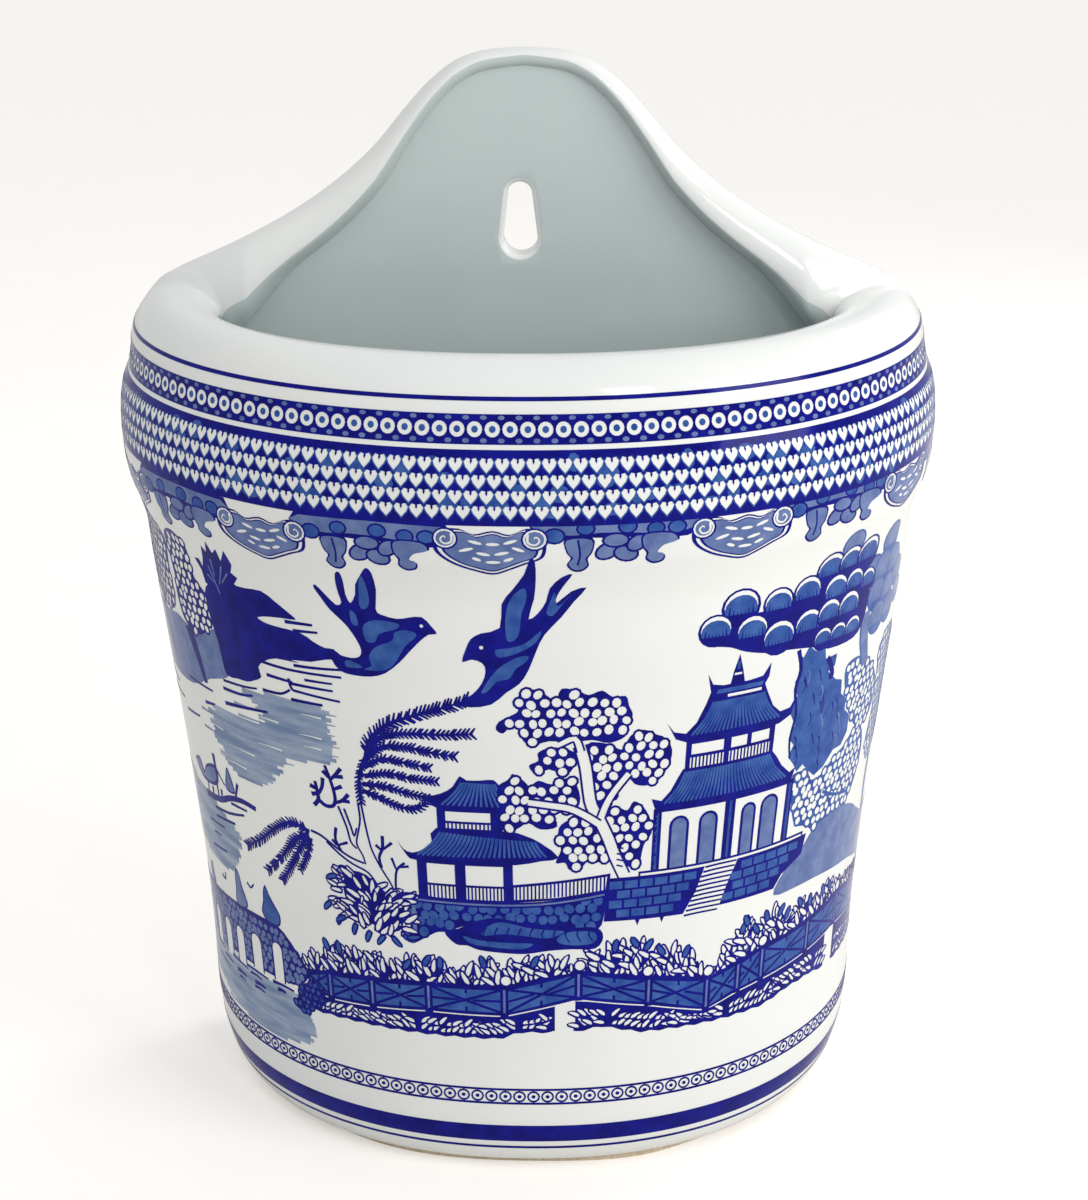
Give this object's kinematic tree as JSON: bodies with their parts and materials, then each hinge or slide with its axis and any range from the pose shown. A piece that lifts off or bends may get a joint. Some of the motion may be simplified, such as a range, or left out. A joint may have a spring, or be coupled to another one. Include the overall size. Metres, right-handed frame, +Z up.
{
  "type": "hanging wall vase",
  "caption": "Half-round ceramic wall vase with a flat back that rises to a keyhole hump, a thick rolled rim, a bead below the collar and blue printed decoration.",
  "frame": {"origin": "middle of the bounding box on the surface that the foot stands on", "axes": "+Z up, +Y out of the flat back towards the wall, -Y out of the rounded printed front, +X to the viewer's right"},
  "size_m": [0.2052, 0.0906, 0.2702],
  "materials": {
    "printed_glaze": "glossy white glaze over a blue print",
    "white_glaze": "glossy white glaze",
    "grey_glaze": "glossy pale grey glaze",
    "bare_clay": "unglazed, matt"
  },
  "bodies": {
    "root": {"foot_ring": "bare_clay", "floor_plate": "grey_glaze", "front_wall": "printed_glaze", "heart_bead": "printed_glaze", "ring_collar": "printed_glaze", "front_rim": "white_glaze", "hump_lip": "white_glaze", "back_plate": "grey_glaze"}
  },
  "joints": []
}
